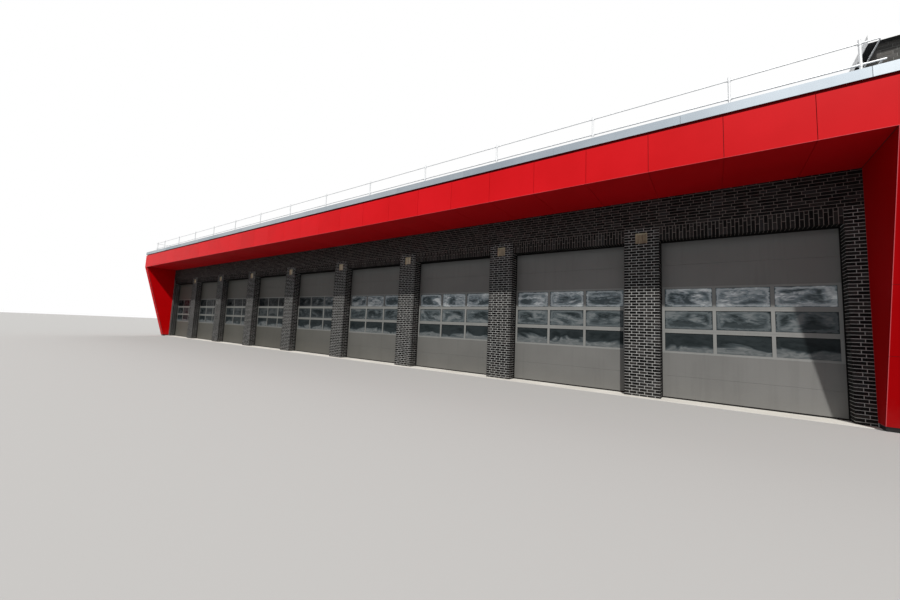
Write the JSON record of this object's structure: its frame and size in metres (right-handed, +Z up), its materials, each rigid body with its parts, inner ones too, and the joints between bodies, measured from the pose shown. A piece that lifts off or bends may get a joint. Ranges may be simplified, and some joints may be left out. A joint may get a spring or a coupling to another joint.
{
  "type": "fire station building, 1:2 scale model",
  "caption": "Single-storey fire station hall in dark brick with grey sectional doors, a red canopy frame and a taller side block, as a 1:2 scale model.",
  "frame": {"origin": "middle of the bounding box, on the ground", "axes": "+X along the front to the right as seen from the street, +Y from the street to the back, +Z up"},
  "size_m": [22.882, 7.838, 4.386],
  "materials": {
    "clinker_brick": "rough dark brick with grey mortar",
    "concrete": "trowelled",
    "red_cladding": "satin",
    "dark_steel": "matt",
    "pale_coping": "satin coated",
    "door_grey": "satin",
    "door_glass": "clear over a dark hall",
    "black_rubber": "matt",
    "pale_threshold": "smooth",
    "niche_board": "bare board",
    "galvanised_rail": "galvanised"
  },
  "bodies": {
    "root": {"hall_floor": "concrete", "pier_1": "clinker_brick", "pier_2": "clinker_brick", "pier_3": "clinker_brick", "pier_4": "clinker_brick", "pier_5": "clinker_brick", "pier_6": "clinker_brick", "pier_7": "clinker_brick", "pier_8": "clinker_brick", "pier_9": "clinker_brick", "pier_10": "clinker_brick", "niche_boards": "niche_board", "soldier_lintels": "clinker_brick", "upper_front_wall": "clinker_brick", "left_end_wall": "clinker_brick", "right_end_wall": "clinker_brick", "back_wall": "clinker_brick", "door_1": "door_grey", "door_2": "door_grey", "door_3": "door_grey", "door_4": "door_grey", "door_5": "door_grey", "door_6": "door_grey", "door_7": "door_grey", "door_8": "door_grey", "door_9": "door_grey", "door_glazing": "door_glass", "door_bottom_seals": "black_rubber", "door_frame_seals": "black_rubber", "door_thresholds": "pale_threshold", "left_wing_wall": "red_cladding", "right_wing_wall": "red_cladding", "canopy_soffit": "red_cladding", "canopy_fascia": "red_cladding", "canopy_cheeks": "red_cladding", "canopy_box": "dark_steel", "roof_deck": "concrete", "roof_upstand": "dark_steel", "hall_coping": "pale_coping", "guard_rail_front": "galvanised_rail", "guard_rail_left_return": "galvanised_rail", "guard_rail_right_return": "galvanised_rail", "block_floor": "concrete", "block_front_wall": "clinker_brick", "block_back_wall": "clinker_brick", "block_left_wall": "clinker_brick", "block_right_wall": "clinker_brick", "block_roof_deck": "concrete", "block_coping": "pale_coping"}
  },
  "joints": []
}
